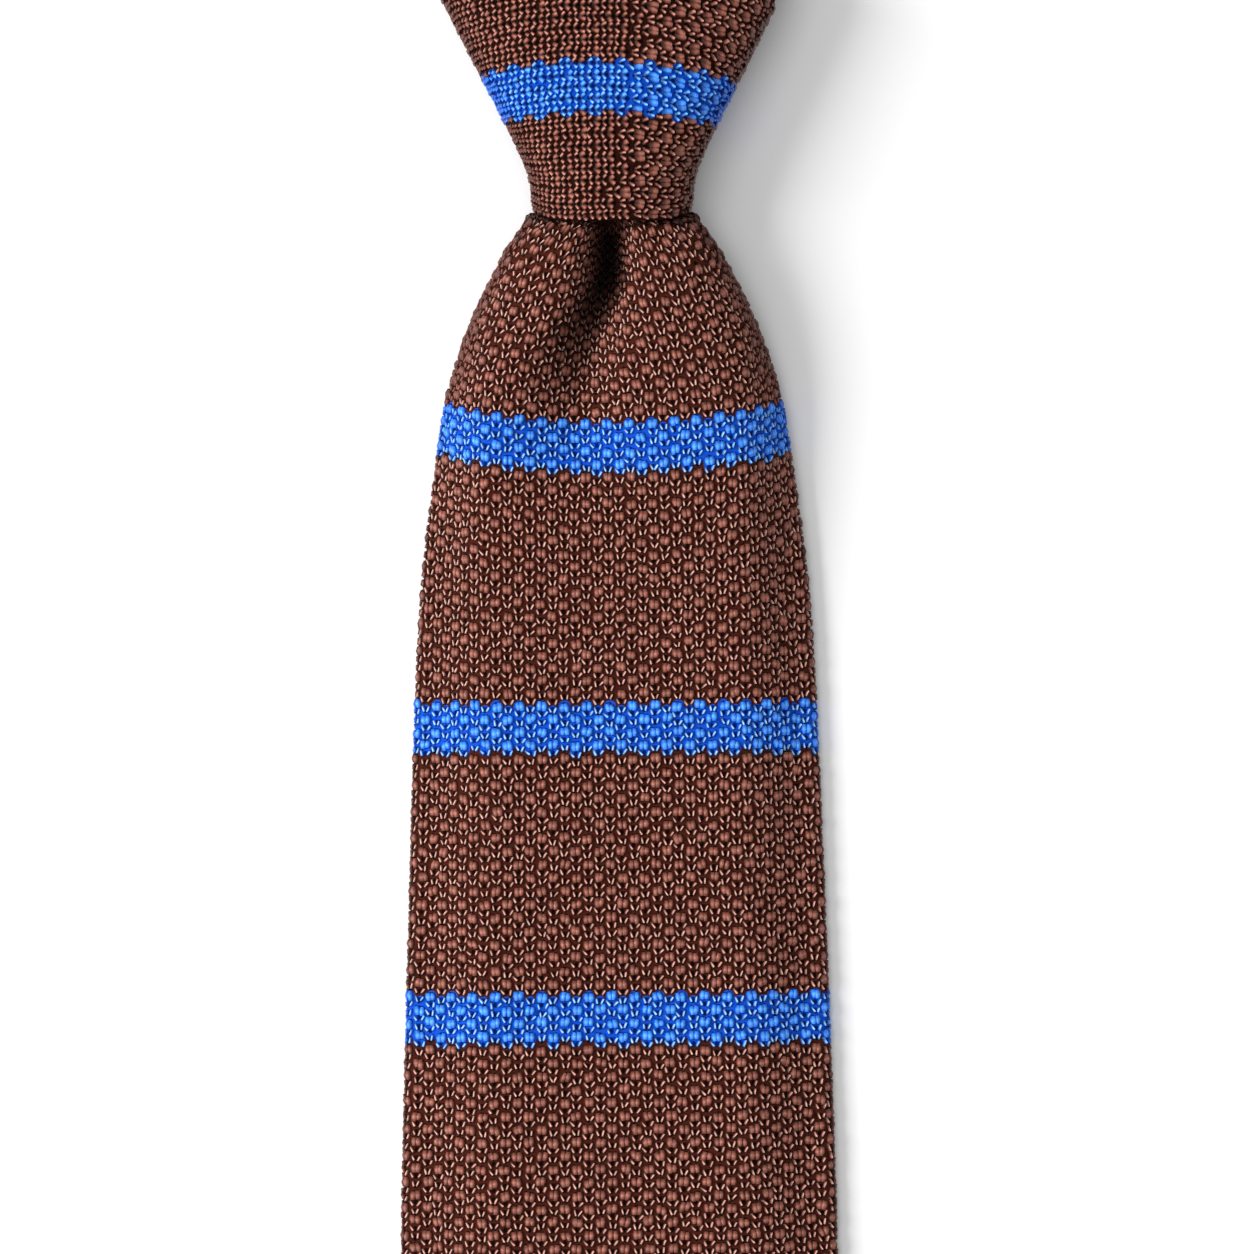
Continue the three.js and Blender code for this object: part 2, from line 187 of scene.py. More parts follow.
def strandHeight(tree, across, along, strand):
    # Height of one strand, from 0 to its own, where across and along are millimetres from the tuck
    turn = math.radians(strand["tilt"])
    x = addNode(tree, "ShaderNodeMath", {0: across, 1: strand["across"]}, operation="SUBTRACT")
    y = addNode(tree, "ShaderNodeMath", {0: along, 1: strand["place"]}, operation="SUBTRACT")
    sections = []
    for first, second, radius in ((math.cos(turn), math.sin(turn), strand["wide"]),
                                  (-math.sin(turn), math.cos(turn), strand["long"])):
        part = addNode(tree, "ShaderNodeMath", {0: x, 1: first / radius}, operation="MULTIPLY")
        turned = addNode(tree, "ShaderNodeMath", {0: y, 1: second / radius, 2: part},
                         operation="MULTIPLY_ADD")
        sections.append(addNode(tree, "ShaderNodeMath", {0: turned, 1: 2.0}, operation="POWER"))
    away = addNode(tree, "ShaderNodeMath", {0: sections[0], 1: sections[1]}, operation="ADD")
    left = addNode(tree, "ShaderNodeMath", {0: 1.0, 1: away}, operation="SUBTRACT", use_clamp=True)
    dome = addNode(tree, "ShaderNodeMath", {0: left, 1: 0.5}, operation="POWER")
    return addNode(tree, "ShaderNodeMath", {0: dome, 1: strand["high"]}, operation="MULTIPLY")


drawnStripe = {                    # in units, where the knit is drawn and not made of strands
    "drop": 0.2,                   # it lies this much lower in every second wale
    "middle": 0.7,                 # this far below its first tuck
    "rounding": 0.5,               # of its ends in each wale
    "reach": 0.95,                 # half its height
}


def knittedCloth(name, brown, blue, raised=True, alongWales=False):
    # The same knit drawn in the surface: raised, with painted shade in the low places between the
    # drawn strands, for the backs; or flat, with painted shade in its gaps, for the ground under the
    # strands. Stripes lie across the wales, or one lies along them.
    material, tree = newMaterial(name)
    place = addNode(tree, "ShaderNodeUVMap", uv_map="stitch")
    wales = addNode(tree, "ShaderNodeSeparateXYZ", {"Vector": place})
    units = wales.node.outputs[1]
    number = addNode(tree, "ShaderNodeMath", {0: wales}, operation="FLOOR")
    odd = addNode(tree, "ShaderNodeMath", {0: number, 1: 2.0}, operation="FLOORED_MODULO")
    inWale = addNode(tree, "ShaderNodeMath", {0: wales}, operation="FRACT")
    centred = addNode(tree, "ShaderNodeMath", {0: inWale, 1: 0.5}, operation="SUBTRACT")
    mirrored = addNode(tree, "ShaderNodeMath", {0: centred}, operation="ABSOLUTE")
    across = addNode(tree, "ShaderNodeMath", {0: mirrored, 1: knit["wale"] / mm}, operation="MULTIPLY")
    shifted = addNode(tree, "ShaderNodeMath", {0: odd, 1: -0.5, 2: units}, operation="MULTIPLY_ADD")
    lifted = addNode(tree, "ShaderNodeMath", {0: shifted, 1: 0.5}, operation="ADD")
    inUnit = addNode(tree, "ShaderNodeMath", {0: lifted}, operation="FRACT")
    fromTuck = addNode(tree, "ShaderNodeMath", {0: inUnit, 1: 0.5}, operation="SUBTRACT")
    along = addNode(tree, "ShaderNodeMath", {0: fromTuck, 1: knit["unit"] / mm}, operation="MULTIPLY")
    unitLength = knit["unit"] / mm
    shapes = paintedShadeGaps
    if raised:
        shapes = [{**s, "place": (s["along"] + unitLength / 2) % unitLength - unitLength / 2}
                  for s in strands.values()]
    height = None
    for strand in shapes:
        found = strandHeight(tree, across, along, strand)
        height = found if height is None else addNode(tree, "ShaderNodeMath", {0: height, 1: found},
                                                      operation="MAXIMUM")
    if alongWales:
        # The stripe's edges wave once a unit
        turned = addNode(tree, "ShaderNodeMath", {0: units, 1: knot["scallopPlace"]}, operation="SUBTRACT")
        phase = addNode(tree, "ShaderNodeMath", {0: turned, 1: math.tau}, operation="MULTIPLY")
        wave = addNode(tree, "ShaderNodeMath", {0: phase}, operation="COSINE")
        wider = addNode(tree, "ShaderNodeMath", {0: wave, 1: knot["scallop"], 2: knot["stripeReach"]},
                        operation="MULTIPLY_ADD")
        middle = knot["stripeMiddle"] + 0.5
        striped = addNode(tree, "ShaderNodeMath", {0: wales, 1: middle, 2: wider}, operation="COMPARE")
    else:
        middle = addNode(tree, "ShaderNodeMath", {0: odd, 1: -drawnStripe["drop"], 2: units},
                         operation="MULTIPLY_ADD")
        repeat = float(knit["stripeEvery"])
        turned = addNode(tree, "ShaderNodeMath", {0: middle, 1: repeat / 2 - drawnStripe["middle"]},
                         operation="ADD")
        inRepeat = addNode(tree, "ShaderNodeMath", {0: turned, 1: repeat}, operation="FLOORED_MODULO")
        fromMiddle = addNode(tree, "ShaderNodeMath", {0: inRepeat, 1: repeat / 2}, operation="SUBTRACT")
        away = addNode(tree, "ShaderNodeMath", {0: fromMiddle}, operation="ABSOLUTE")
        edge = addNode(tree, "ShaderNodeMath", {0: mirrored, 1: 2.0}, operation="POWER")
        rounded = addNode(tree, "ShaderNodeMath", {0: edge, 1: drawnStripe["rounding"], 2: away},
                          operation="MULTIPLY_ADD")
        striped = addNode(tree, "ShaderNodeMath", {0: rounded, 1: drawnStripe["reach"]},
                          operation="LESS_THAN")
    # Painted shade: the low places between the drawn strands, or the gaps in the ground, are darker
    farthest = 0.36 if raised else 1.0
    shade = addNode(tree, "ShaderNodeMapRange", {"Value": height, "From Max": farthest})
    tones = []
    for colours in (brown, blue):
        ramp = addNode(tree, "ShaderNodeValToRGB", {"Fac": shade})
        stops = ramp.node.color_ramp.elements
        stops[0].position, stops[0].color = 0.1, linear(colours["deep" if raised else "body"])
        stops[1].position, stops[1].color = 0.8, linear(colours["body" if raised else "deep"])
        tones.append(ramp)
    mixed = addNode(tree, "ShaderNodeMix", {0: striped, 6: tones[0], 7: tones[1]}, output=2,
                    data_type="RGBA")
    # Painted shade in the dimple and close under the knot's rim darkens the colour
    paintedShade = addNode(tree, "ShaderNodeAttribute", output="Fac", attribute_name="paintedShade")
    opened = addNode(tree, "ShaderNodeMath", {0: 1.0, 1: paintedShade}, operation="SUBTRACT")
    colour = addNode(tree, "ShaderNodeHueSaturation", {"Color": mixed, "Value": opened})
    if raised:
        normal = addNode(tree, "ShaderNodeBump", {"Height": height, "Strength": 0.8, "Distance": 1.0 * mm})
        finishMaterial(tree, colour, normal, 0.5, yarnFinish["sheen"])
    else:
        sunk = addNode(tree, "ShaderNodeMath", {0: 1.0, 1: height}, operation="SUBTRACT")
        normal = addNode(tree, "ShaderNodeBump", {"Height": sunk, "Strength": 0.6, "Distance": 0.3 * mm})
        finishMaterial(tree, colour, normal, 0.9, 0.0, 0.05)
    return material


print("mixing the yarns")
brownSilk = silkYarn("brown_silk_yarn", brownYarn)
blueSilk = silkYarn("blue_silk_yarn", blueYarn)
knitBack = knittedCloth("knitted_back", brownYarn, blueYarn)
# The ground under the strands is the yarn's colour darkened as painted shade, with darker painted shade in
# the gaps
groundBrown = {"deep": "#120502", "body": "#441c13"}
groundBlue = {"deep": "#021a60", "body": "#1150ca"}
knitGround = knittedCloth("knitted_ground", groundBrown, groundBlue, raised=False)


# Cloth bodies

def makeObject(name, mesh, materials):
    for material in materials:
        mesh.materials.append(material)
    piece = bpy.data.objects.new(name, mesh)
    bpy.context.scene.collection.objects.link(piece)
    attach(piece, "root")
    return piece


def clothBody(name, rings, wales, units, materials, groundColumns=0, closed=False, paintedShade=None):
    # A closed body through rings of points. Wales and units are the knit's counts at each point.
    # The first groundColumns columns are the ground under the strands, and the last argument gives
    # the painted shade of each point, in the dimple and close under the knot's rim.
    count, around = rings.shape[:2]
    spans = count if closed else count - 1
    faces, corners, kinds = [], [], []
    for j in range(spans):
        for i in range(around):
            here, there = j * around, ((j + 1) % count) * around
            following = (i + 1) % around
            faces.append((here + i, here + following, there + following, there + i))
            corners += [(j, i), (j, i + 1), (j + 1, i + 1), (j + 1, i)]
            kinds.append(1 if i < groundColumns else 0)
    if not closed:
        for end, start in ((0, 0), (count - 1, (count - 1) * around)):
            for i in range(around // 2):
                pair = [i, i + 1, around - i - 1, (around - i) % around]
                if end == 0:
                    pair.reverse()
                pair = [p for k, p in enumerate(pair) if p not in pair[:k]]
                if len(pair) < 3:
                    continue
                faces.append(tuple(start + p for p in pair))
                corners += [(end, p) for p in pair]
                kinds.append(0)
    mesh = bpy.data.meshes.new(name)
    mesh.from_pydata(rings.reshape(-1, 3).tolist(), [], faces)
    corners = np.array(corners)
    layer = mesh.uv_layers.new(name="stitch")
    uv = np.stack([wales[corners[:, 0] % wales.shape[0], corners[:, 1] % wales.shape[1]],
                   units[corners[:, 0] % units.shape[0], corners[:, 1] % units.shape[1]]], axis=1)
    layer.data.foreach_set("uv", uv.ravel())
    mesh.polygons.foreach_set("material_index", np.array(kinds, dtype=np.int32))
    if paintedShade is not None:
        mesh.attributes.new("paintedShade", "FLOAT", "POINT").data.foreach_set("value", paintedShade.ravel())
    if signedVolume(rings, closed) < 0:
        mesh.flip_normals()
    mesh.shade_smooth()
    mesh.update()
    return makeObject(name, mesh, materials)


def signedVolume(rings, closed):
    # Positive if the faces from one ring to the next point out
    total = 0.0
    for j in range(len(rings) if closed else len(rings) - 1):
        here, there = rings[j], rings[(j + 1) % len(rings)]
        nextHere, nextThere = np.roll(here, -1, axis=0), np.roll(there, -1, axis=0)
        total += np.sum(here * np.cross(nextHere, nextThere)) + np.sum(here * np.cross(nextThere, there))
    return total


def alongCurve(points, places):
    # Points and directions at places along each row of a stack of curves
    steps = np.linalg.norm(np.diff(points, axis=0), axis=1)
    reached = np.concatenate([[0], np.cumsum(steps)])
    where = np.stack([np.interp(places, reached, points[:, k]) for k in range(points.shape[1])], axis=1)
    slopes = np.gradient(points, reached, axis=0)
    turned = np.stack([np.interp(places, reached, slopes[:, k]) for k in range(points.shape[1])], axis=1)
    return where, turned / np.linalg.norm(turned, axis=1, keepdims=True), reached[-1]


def evenly(points, count):
    steps = np.linalg.norm(np.diff(points, axis=0), axis=1)
    reached = np.concatenate([[0], np.cumsum(steps)])
    places = np.linspace(0, reached[-1], count + 1)
    return np.stack([np.interp(places, reached, points[:, k]) for k in range(points.shape[1])], axis=1)


def tubeSection(curve, thickness, columns, inset=0.0):
    # Outline of a flat knitted tube round a curve that runs from its left edge to its right one:
    # the upper face with both edges, evenly spaced, then the under face back. The inset lowers
    # the upper face, for strands to stand on.
    radius = (thickness - inset) / 2
    total = alongCurve(curve, [0])[2]
    turns = np.radians(np.linspace(0, 90, 7))
    edge = radius * (1 - np.cos(turns))
    flat = np.linspace(radius, total - radius, 90)
    places = np.concatenate([edge, flat[1:-1], (total - edge)[::-1]])
    reach = np.concatenate([radius * np.sin(turns), np.full(88, radius), (radius * np.sin(turns))[::-1]])
    middle, forward, _ = alongCurve(curve, places)
    up = np.stack([-forward[:, 1], forward[:, 0]], axis=1)
    middle = middle - up * inset / 2
    upper = evenly(middle + up * reach[:, None], columns)
    under = evenly(middle - up * reach[:, None], columns)
    return np.concatenate([upper, under[-2:0:-1]])


# Strands on a cloth

def grain(sides, rings, bluntness=0.4):
    # A closed grain of yarn: across, up and along are shares of its half sizes
    turns = np.radians(np.linspace(-20, 200, sides))
    along = -np.cos(np.pi * np.arange(1, rings + 1) / (rings + 1))
    radius = (1 - along ** 2) ** bluntness
    across = np.concatenate([[0], np.outer(radius, np.cos(turns)).ravel(), [0]])
    up = np.concatenate([[0], np.outer(radius, np.sin(turns)).ravel(), [0]])
    length = np.concatenate([[-1], np.repeat(along, sides), [1]])
    around = np.concatenate([[0.5], np.tile(np.linspace(0, 1, sides), rings), [0.5]])
    last = rings * sides + 1
    faces = []
    for i in range(sides):
        following = (i + 1) % sides
        faces.append((0, 1 + following, 1 + i))
        faces.append((last, last - sides + i, last - sides + following))
        for j in range(rings - 1):
            here = 1 + j * sides
            there = here + sides
            faces.append((here + i, there + following, here + following))
            faces.append((here + i, there + i, there + following))
    return {"across": across, "up": up, "along": length, "around": around, "faces": np.array(faces)}


fineGrains = {"tuck": grain(6, 3, 0.25), "leg": grain(5, 2)}
plainGrains = {"tuck": grain(5, 2, 0.25), "leg": grain(4, 1)}  # beyond the picture


def unit(vectors):
    return vectors / np.linalg.norm(vectors, axis=-1, keepdims=True)


def unpulled(vectors):
    # Where the ground is stretched, the strands keep about their size
    length = np.linalg.norm(vectors, axis=-1, keepdims=True)
    return vectors / length * np.clip(length, 0.8, 1.1)


uneven = {                         # spread of the strands: all of one stitch, then each by itself
    "stitchAcross": 0.06, "stitchAlong": 0.09, "stitchTurn": 5,
    "across": 0.04, "along": 0.06, "wide": 0.07, "long": 0.08, "turn": 6, "high": 0.08,
}


def strandPiece(name, pointAt, wale, course, blueAt, outward=1, paintedShadeAt=None, pattern=strands,
                grains=fineGrains):
    # Joins the strands of the units whose tucks lie at these wales and courses. PointAt gives a
    # point of the ground from a wale and a distance along the cloth, and the painted-shade function
    # gives how dark each strand is painted, in the dimple and close under the knot's rim.
    points, faces, blues, depths, tones, paintedShades, yarns = [], [], [], [], [], [], []
    start = 0
    reach, step = 0.25, 0.35 * mm
    total = len(wale)
    pulled = draws.normal(0, 1, (3, total))
    for kind, strand in pattern.items():
        shape = grains["tuck" if kind == "tuck" else "leg"]
        for side in (-1, 1):
            wobble = draws.normal(0, 1, (6, total))
            x = (side * strand["across"] + uneven["stitchAcross"] * pulled[0]
                 + uneven["across"] * wobble[0]) * mm
            y = (strand["along"] + uneven["stitchAlong"] * pulled[1] + uneven["along"] * wobble[1]) * mm
            halfWidth = strand["wide"] * (1 + uneven["wide"] * wobble[2]) * mm
            halfLength = strand["long"] * (1 + uneven["long"] * wobble[3]) * mm
            turn = np.radians(side * strand["tilt"] + uneven["stitchTurn"] * pulled[2]
                              + uneven["turn"] * wobble[4])
            high = strand["high"] * np.clip(1 + uneven["high"] * wobble[5], 0.7, 1.15) * mm
            u, v = wale + x / knit["wale"], course + y
            centre = pointAt(u, v)
            across = (pointAt(u + reach, v) - pointAt(u - reach, v)) / (2 * reach * knit["wale"])
            along = (pointAt(u, v + step) - pointAt(u, v - step)) / (2 * step)
            normal = unit(np.cross(along, across)) * outward
            across, along = unpulled(across), unpulled(along)
            sideways = halfWidth[:, None] * shape["across"]
            lengthways = halfLength[:, None] * shape["along"]
            cosine, sine = np.cos(turn)[:, None], np.sin(turn)[:, None]
            localX = sideways * cosine - lengthways * sine
            localY = sideways * sine + lengthways * cosine
            localZ = high[:, None] * shape["up"] - strand["bow"] * mm * shape["along"] ** 2
            placed = (centre[:, None] + across[:, None] * localX[..., None]
                      + along[:, None] * localY[..., None] + normal[:, None] * localZ[..., None])
            points.append(placed.reshape(-1, 3))
            size = len(shape["across"])
            offsets = start + size * np.arange(total)
            corners = shape["faces"] if outward > 0 else shape["faces"][:, ::-1]
            faces.append((corners[None] + offsets[:, None, None]).reshape(-1, 3))
            blue = blueAt(wale + side * strand["across"] * mm / knit["wale"], course + strand["along"] * mm)
            blues.append(np.repeat(blue, len(shape["faces"])))
            # Stitches on steep sides get less of the painted highlight
            level = 0.5 + 0.5 * smoothstep(normal[:, 2], 0.25, 0.7)
            # Depth places each point on that ramp: painted shade low on the strand, a painted highlight on
            # its crest
            depths.append(np.clip(strand["specularAndPaintedHighlight"] * level[:, None] * localZ / high[:, None], 0, 1).ravel())
            # Painted shade from the dimple and the knot's rim, the same over all of a strand
            paintedShades.append(np.repeat(paintedShadeAt(centre) if paintedShadeAt else np.zeros(total), size))
            tones.append(np.repeat(draws.random(total), size))
            yarns.append(np.stack([(lengthways / mm + 7 * draws.random(total)[:, None]).ravel(),
                                   np.tile(shape["around"] * 1.2, total)], axis=1))
            start += size * total
    points, faces = np.concatenate(points), np.concatenate(faces)
    mesh = bpy.data.meshes.new(name)
    mesh.vertices.add(len(points))
    mesh.vertices.foreach_set("co", points.ravel())
    mesh.loops.add(faces.size)
    mesh.loops.foreach_set("vertex_index", faces.ravel().astype(np.int32))
    mesh.polygons.add(len(faces))
    mesh.polygons.foreach_set("loop_start", np.arange(0, faces.size, 3, dtype=np.int32))
    mesh.polygons.foreach_set("material_index", np.concatenate(blues).astype(np.int32))
    mesh.update(calc_edges=True)
    mesh.uv_layers.new(name="yarn").data.foreach_set("uv", np.concatenate(yarns)[faces.ravel()].ravel())
    for attribute, values in (("depth", depths), ("tone", tones), ("paintedShade", paintedShades)):
        data = mesh.attributes.new(attribute, "FLOAT", "POINT").data
        data.foreach_set("value", np.concatenate(values).astype(np.float32))
    mesh.shade_smooth()
    print(f"  {name}: {len(faces)} triangles")
    return makeObject(name, mesh, [brownSilk, blueSilk])


def bilinear(grid, row, column):
    # Points of a grid at places between its rows and columns
    row = np.clip(row, 0, grid.shape[0] - 1.001)
    column = np.clip(column, 0, grid.shape[1] - 1.001)
    i, j = row.astype(int), column.astype(int)
    s, t = (row - i)[..., None], (column - j)[..., None]
    upper = grid[i, j] * (1 - t) + grid[i, j + 1] * t
    lower = grid[i + 1, j] * (1 - t) + grid[i + 1, j + 1] * t
    return upper * (1 - s) + lower * s


# Places in the frame
bladeLow, bladeHigh = (np.array(corner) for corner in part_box("front_blade"))
tailLow, tailHigh = (np.array(corner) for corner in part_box("tail_blade"))
knotFoot = np.array(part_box("knot_band")[0])[1]
cloth = 3 * mm
clearance = 0.3 * mm

# The camera and the light

photo = {
    "width": 168.4 * mm,           # of the table that the picture spans
    "centre": (1.6 * mm, 91.85 * mm),
    "cameraHeight": 0.9,
    "focusHeight": 5 * mm,
    "sensor": 36.0,
    "turn": math.radians(-0.39),   # the tie lies a little askew in the picture
}
camera = bpy.data.objects.new("camera", bpy.data.cameras.new("camera"))
camera.data.sensor_width = photo["sensor"]
camera.data.lens = photo["sensor"] * photo["cameraHeight"] / photo["width"]
camera.location = (*photo["centre"], photo["focusHeight"] + photo["cameraHeight"])
camera.rotation_euler = (0, 0, photo["turn"])
bpy.context.scene.collection.objects.link(camera)
bpy.context.scene.camera = camera

studio = {                         # turns are degrees from +X to a lamp, seen from above
    "key": {"elevation": 39, "turn": 172, "distance": 1.3, "size": 0.65, "power": 17},
    "top": {"elevation": 80, "turn": 150, "distance": 1.6, "size": 0.9, "power": 7.5},
    "sky": 0.4,
}
bpy.context.scene.view_settings.view_transform = "Standard"
world = bpy.data.worlds.new("studio")
bpy.context.scene.world = world
world.use_nodes = True
sky = world.node_tree.nodes["Background"]
sky.inputs["Color"].default_value = (1, 1, 1, 1)
sky.inputs["Strength"].default_value = studio["sky"]


def softbox(name, facts):
    elevation, turn = math.radians(facts["elevation"]), math.radians(facts["turn"])
    lamp = bpy.data.lights.new(name, "AREA")
    lamp.shape, lamp.size, lamp.energy = "SQUARE", facts["size"], facts["power"]
    box = bpy.data.objects.new(name, lamp)
    toward = np.array([math.cos(turn) * math.cos(elevation), math.sin(turn) * math.cos(elevation),
                       math.sin(elevation)])
    box.location = np.array([0, photo["centre"][1], 0]) + toward * facts["distance"]
    box.rotation_euler = (math.pi / 2 - elevation, 0, turn + math.pi / 2)
    box.visible_camera = False
    bpy.context.scene.collection.objects.link(box)


softbox("key_softbox", studio["key"])
softbox("top_softbox", studio["top"])

floorMesh = bpy.data.meshes.new("table")
half = 8.0
floorMesh.from_pydata([(-half, -half, 0), (half, -half, 0), (half, half, 0), (-half, half, 0)], [],
                      [(0, 1, 2, 3)])
floor = bpy.data.objects.new("table", floorMesh)
bpy.context.scene.collection.objects.link(floor)
paper, paperTree = newMaterial("matt_white_paper")
paperShader = addNode(paperTree, "ShaderNodeBsdfPrincipled", {
    "Base Color": linear("#f7f7f7"), "Roughness": 0.95, "Specular IOR Level": 0.1,
})
addNode(paperTree, "ShaderNodeOutputMaterial", {"Surface": paperShader})
floorMesh.materials.append(paper)

# The wide blade

blade = {
    "wales": 38,
    "openLength": 250 * mm,
    "tuckDepth": 12 * mm,
    "throatSqueeze": 0.67,
    "stripeStart": 25.34 * mm,     # first tuck of the first stripe below the knot
    "sag": 3.4 * mm,               # the courses hang this much lower in the middle, near the knot
    "sagOffset": 1.8 * mm,
    "sagFade": (30 * mm, 70 * mm),
}
blade["width"] = bladeHigh[0] - bladeLow[0]
blade["length"] = knotFoot - bladeLow[1]

# Its shape at places below the knot. Down is a share of the opening length, and open of the way
# from its width in the knot to its full width. Edge and ridge are the heights of its edges and
# crown, from 0 on the table to 1 in the knot. Arch is 1 where it is arched from edge to edge and
# 0 where it lies over the tail. The dimple is a share of the knot's lower depth, and its breadth
# and drift of the knot's lower width.
bladeShape = {
    "down": [-.003, 0, .0035, .0085, .02, .04, .072, .1, .128, .19, .258, .343, .444, .555, 1],
    "open": [0, .033, .165, .213, .336, .465, .607, .691, .732, .809, .851, .884, .921, .952, 1],
    "edge": [1, .82, .77, .71, .56, .39, .2, .09, .035, 0, 0, 0, 0, 0, 0],
    "ridge": [1, 1.07, 1.11, 1.13, 1.15, 1.06, .88, .72, .59, .33, .16, .05, 0, 0, 0],
    "arch": [1, 1, 1, 1, 1, 1, .88, .77, .64, .39, .21, .08, 0, 0, 0],
    "dimple": [.28, .31, .33, .35, .36, .34, .25, .15, .07, 0, 0, 0, 0, 0, 0],
    "breadth": [.115, .12, .123, .128, .138, .158, .202, .249, .293, .323, .323, .323, .323, .323, .323],
    "drift": [-.02, -.02, -.022, -.027, -.035, -.069, -.163, -.221, -.264, -.281, -.281, -.281, -.281,
              -.281, -.281],
}


def fromTable(table, column, place):
    # A column of the table at any place, on a smooth curve that never swings past its rows
    down, value = np.array(table["down"]), np.array(table[column], dtype=float)
    slope = np.diff(value) / np.diff(down)
    product = slope[:-1] * slope[1:]
    turning = np.where(product > 0, slope[:-1] + slope[1:], 1)
    tangent = np.concatenate([[0], np.where(product > 0, 2 * product / turning, 0), [0]])
    place = np.clip(place, down[0], down[-1])
    row = np.clip(np.searchsorted(down, place, "right") - 1, 0, len(down) - 2)
    span = down[row + 1] - down[row]
    t = (place - down[row]) / span
    return (value[row] + (value[row + 1] - value[row]) * t * t * (3 - 2 * t)
            + t * (1 - t) ** 2 * span * tangent[row] + t * t * (t - 1) * span * tangent[row + 1])


knot = {
    "height": 34 * mm,
    "topWidth": 49 * mm,
    "bottomWidth": 21.5 * mm,
    "topDepth": 20 * mm,
    "bottomDepth": 18 * mm,
    "bulge": 1 * mm,
    "collar": 5.5 * mm,
    "collarBend": 3 * mm,
    "rimRise": 2.3 * mm,
    "rimSharpness": 6,             # the rim rises late, close to its corners
    "rimFollow": 8 * mm,           # the blade's courses follow the raised rim this far down
    "frontRoundness": 2.4,
    "backRoundness": 5,
    "waleEvery": 1.535 * mm,       # counted from the lip's lowest point, along the surface
    "unit": 3.68 * mm,
    "stripeMiddle": 12,            # the wale in the middle of the blue stripe
    "stripeReach": 2.25,           # in wales, half the stripe's height
    "scallop": 0.3,                # in wales, how far the stripe's edges wave
    "scallopPlace": 0.6,           # in units, the first crest's place
    "rowArch": 0.11,               # the rows stand this share of their height lower at the sides
    "rowTilt": 0.03,               # and slope down to the right
    "loose": 0.2,                  # right of this share of its half width the stitches are looser
    "looseSpread": 0.05,           # how much that line wanders
    "looseHeight": 8 * mm,         # so are all the stitches below this height
}
tailFloor = cloth + clearance
bladeFloor = tailFloor + cloth + clearance
lyingRidge = tailFloor + clearance + cloth / 2
throatRidge = knot["bottomDepth"] - cloth - 1 * mm - cloth * blade["throatSqueeze"] / 2
tail = {
    "wales": 21,
    "width": tailHigh[0] - tailLow[0],
    "length": knotFoot - tailLow[1],
    "openLength": 55 * mm,
    "dropLength": 16 * mm,
}


def bladeSection(down, squeeze, columns, inset):
    place = down / blade["openLength"]
    shape = {column: float(fromTable(bladeShape, column, place))
             for column in bladeShape if column != "down"}
    throatHalf = knot["bottomWidth"] / 2 - cloth - clearance
    half = lerp(throatHalf, blade["width"] / 2, shape["open"])
    opened = float(smoothstep(down, 0, blade["openLength"] / 10))
    thickness = cloth * lerp(blade["throatSqueeze"], 1, opened)
    overTail = 1 - float(smoothstep(down, tail["length"], tail["length"] + tail["width"]))
    low = lerp(cloth / 2, bladeFloor, shape["edge"])
    crown = (lerp(lyingRidge, throatRidge, shape["ridge"]) - low) * overTail
    lean, spread = shape["arch"] * crown * math.pi, half * (1 - shape["arch"])
    middleHalf = half - thickness / 2 * (1 - spread / math.hypot(lean, spread))
    across = np.linspace(-1, 1, 161)
    quarter = across * math.pi / 2
    x = middleHalf * lerp(across, np.sin(quarter), shape["arch"])
    lying = 1 - smoothstep(np.abs(x), tail["width"] / 2 + clearance, half - cloth / 2)
    arched = 1 - (1 - np.cos(quarter)) ** 2
    offset = (x - shape["drift"] * knot["bottomWidth"]) / (shape["breadth"] * knot["bottomWidth"])
    valley = shape["dimple"] * knot["bottomDepth"] * np.exp(-offset ** 2)
    z = low + crown * lerp(lying, arched, shape["arch"]) - valley
    return tubeSection(np.stack([x, z], axis=1), thickness * squeeze, columns, inset)


# Painted shade in the dimple and close under the knot's rim: how much of the strands' and the ground's
# colour is taken away
dimpleShade = {
    "fullDepth": 0.35,             # a dimple this deep has all of the shade
    "fade": 2.4,
    "wallShift": 0.62,             # further down, it lies this share of the breadth to the left
    "shiftDown": (7 * mm, 16 * mm),
    "reach": 0.96,
    "rightEdge": 7,                # sharper than the left one
    "leftEdge": 2.6,
    "dark": 0.98,
    "rimDark": 0.5,                # painted shade close under the knot's rim
    "rimDown": (-0.5 * mm, 1.2 * mm),
}


def paintedShadeAt(point):
    # Painted shade: the dimple's left wall, all of the cavity where it goes up into the knot, and a
    # band close under the knot's rim are painted darker
    down = knotFoot - point[..., 1]
    place = down / blade["openLength"]
    breadth = fromTable(bladeShape, "breadth", place) * knot["bottomWidth"]
    valley = fromTable(bladeShape, "drift", place) * knot["bottomWidth"]
    depth = fromTable(bladeShape, "dimple", place) / dimpleShade["fullDepth"]
    deep = np.clip(depth, 0, 1) ** dimpleShade["fade"]
    wall = valley - breadth * dimpleShade["wallShift"] * smoothstep(down, *dimpleShade["shiftDown"])
    side = (point[..., 0] - wall) / breadth
    edge = np.where(side > 0, dimpleShade["rightEdge"], dimpleShade["leftEdge"])
    inDimple = deep * np.exp(-np.abs(side / dimpleShade["reach"]) ** edge)
    underRim = 1 - smoothstep(down, *dimpleShade["rimDown"])
    return 1 - (1 - dimpleShade["dark"] * inDimple) * (1 - dimpleShade["rimDark"] * underRim)


